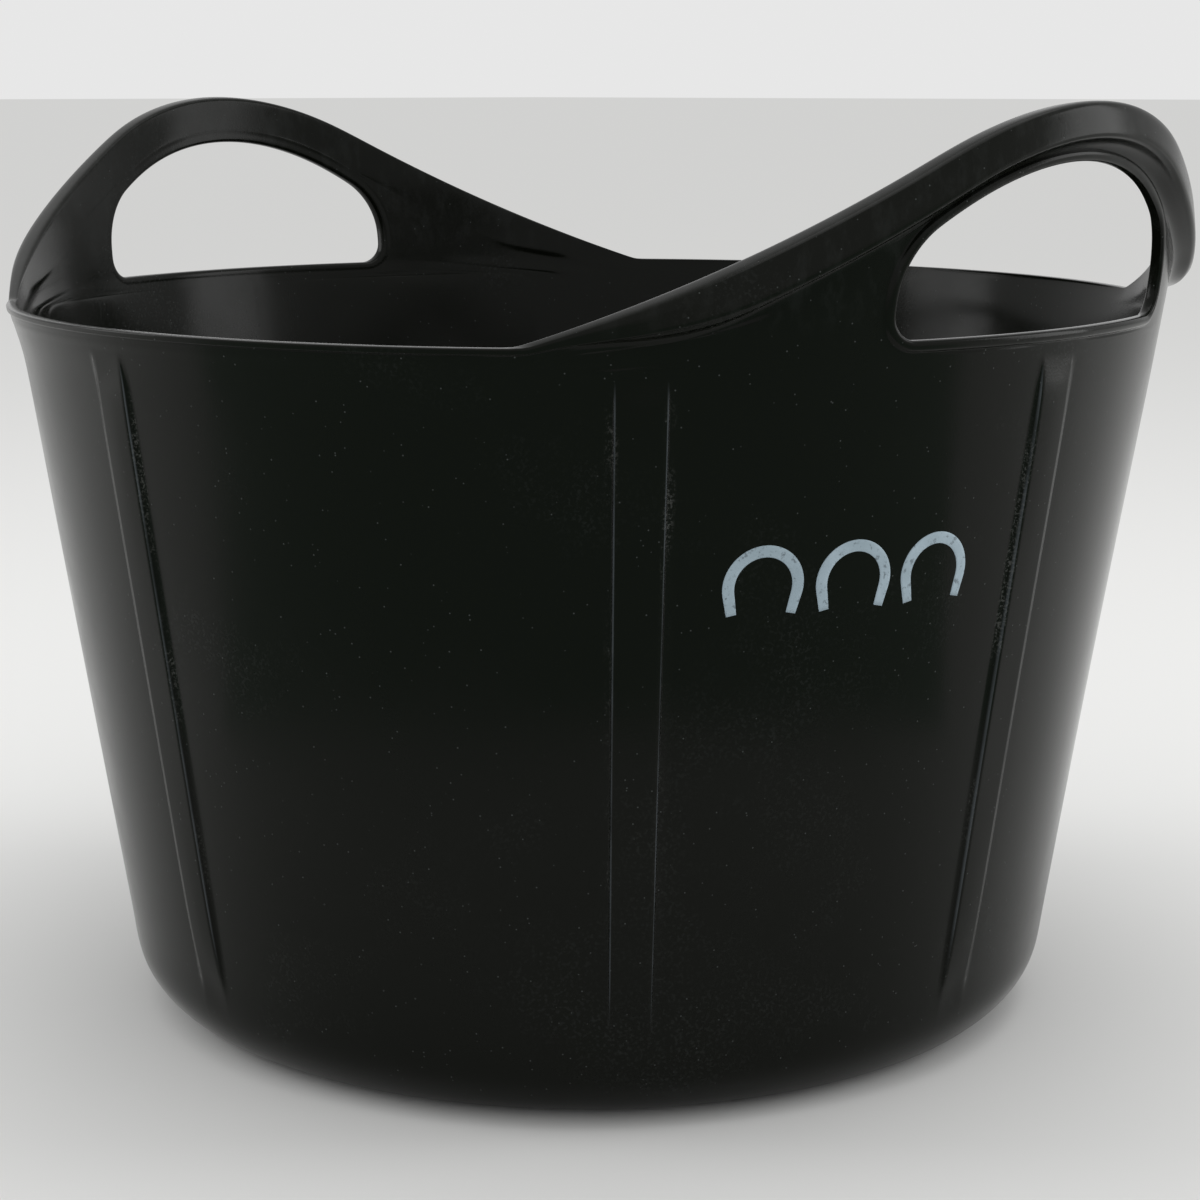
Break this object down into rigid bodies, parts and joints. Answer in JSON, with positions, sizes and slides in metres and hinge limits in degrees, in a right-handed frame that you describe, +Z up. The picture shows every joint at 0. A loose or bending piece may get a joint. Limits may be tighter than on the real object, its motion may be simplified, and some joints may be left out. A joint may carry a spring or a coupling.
{
  "type": "feed bucket",
  "caption": "Round tapered flexible feed tub in black polyethylene, its rim rising into two opposite arched handles with D-shaped hand holes.",
  "frame": {"origin": "centre of the underside of the base, on the floor", "axes": "+Z up, the two handles on +X and -X, the low rims on +Y and -Y"},
  "size_m": [0.436, 0.4, 0.3146],
  "materials": {
    "black_polyethylene": "semi-gloss flexible low-density polyethylene, moulded through in black",
    "print_ink": "flat blue-grey pad print"
  },
  "bodies": {
    "root": {"floor_disc": "black_polyethylene", "rim_back": "black_polyethylene", "rim_front": "black_polyethylene", "handle_right": "black_polyethylene", "handle_left": "black_polyethylene", "hole_bead_right": "black_polyethylene", "hole_bead_left": "black_polyethylene", "grip_edge_right": "black_polyethylene", "grip_edge_left": "black_polyethylene", "wall_band_1": "black_polyethylene", "wall_band_2": "black_polyethylene", "wall_band_3": "black_polyethylene", "wall_band_4": "black_polyethylene", "wall_band_5": "black_polyethylene", "wall_band_6": "black_polyethylene", "wall_band_7": "black_polyethylene", "wall_band_8": "black_polyethylene", "wall_panel_1": "black_polyethylene", "wall_panel_2": "black_polyethylene", "wall_panel_3": "black_polyethylene", "wall_panel_4": "black_polyethylene", "wall_panel_5": "black_polyethylene", "wall_panel_6": "black_polyethylene", "wall_panel_7": "black_polyethylene", "wall_panel_8": "black_polyethylene", "printed_mark": "print_ink"}
  },
  "joints": []
}
